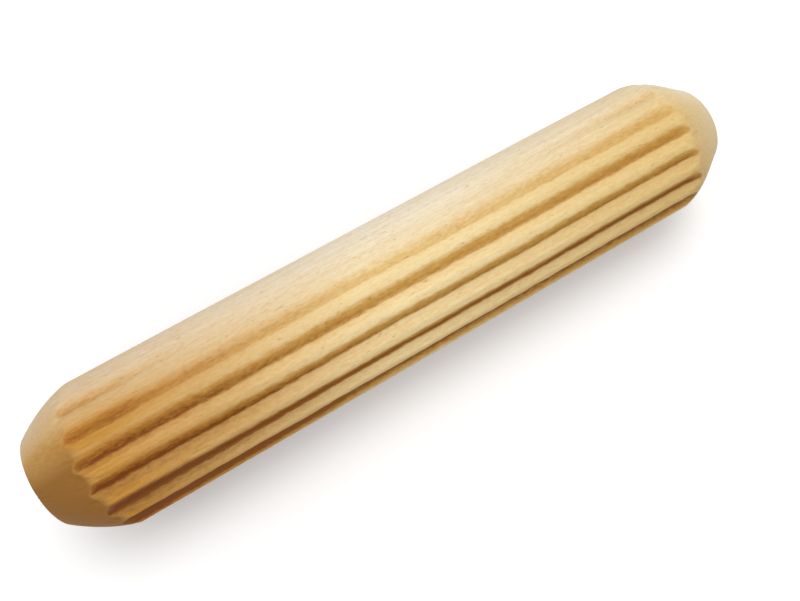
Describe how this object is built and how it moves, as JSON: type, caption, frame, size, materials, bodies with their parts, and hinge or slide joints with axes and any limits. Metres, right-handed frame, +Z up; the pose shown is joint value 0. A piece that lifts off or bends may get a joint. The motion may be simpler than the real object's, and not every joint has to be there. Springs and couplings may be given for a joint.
{
  "type": "dowel pin",
  "caption": "Short fluted wooden dowel pin with tapered ends, glued into matching holes to join two boards.",
  "frame": {"origin": "on the pin's axis, at half its length", "axes": "+X along the pin's axis, towards the end with the longer, rounder taper; +Z up as the pin lies on two of its ridges"},
  "size_m": [0.04, 0.008, 0.008],
  "materials": {
    "beech": "bare turned beech with pressed flutes, unsealed"
  },
  "bodies": {
    "root": {"dowel_pin": "beech"}
  },
  "joints": []
}
